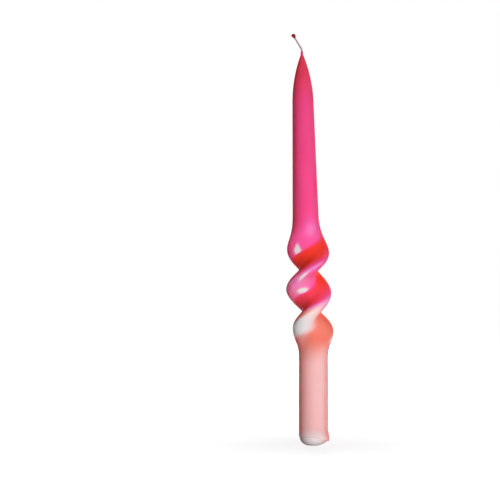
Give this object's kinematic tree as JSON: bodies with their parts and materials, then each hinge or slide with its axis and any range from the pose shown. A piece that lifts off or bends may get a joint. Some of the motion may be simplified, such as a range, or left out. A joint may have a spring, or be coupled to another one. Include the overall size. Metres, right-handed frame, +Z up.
{
  "type": "twisted taper candle",
  "caption": "Slim taper candle with a round foot for a holder, a hand-twisted flat ribbon in the middle, a pointed tip with a bent wick, and dyed wax skins that fade to a white band.",
  "frame": {"origin": "middle of the flat at the bottom of the foot, on the foot's axis", "axes": "+Z up the foot's axis towards the wick, +X to the right in the picture, -Y towards the viewer"},
  "size_m": [0.0357, 0.0358, 0.3116],
  "materials": {
    "white_wax": "satin white wax",
    "lower_dye": "satin peach dyed wax, fading to white at its top edge",
    "upper_dye": "satin hot pink dyed wax, fading to white at its lower edge",
    "wick": "waxed braided cotton",
    "bead": "glossy dark red wax"
  },
  "bodies": {
    "root": {"wax_core": "white_wax", "lower_dye_skin": "lower_dye", "upper_dye_skin": "upper_dye", "wick": "wick", "wick_bead": "bead"}
  },
  "joints": []
}
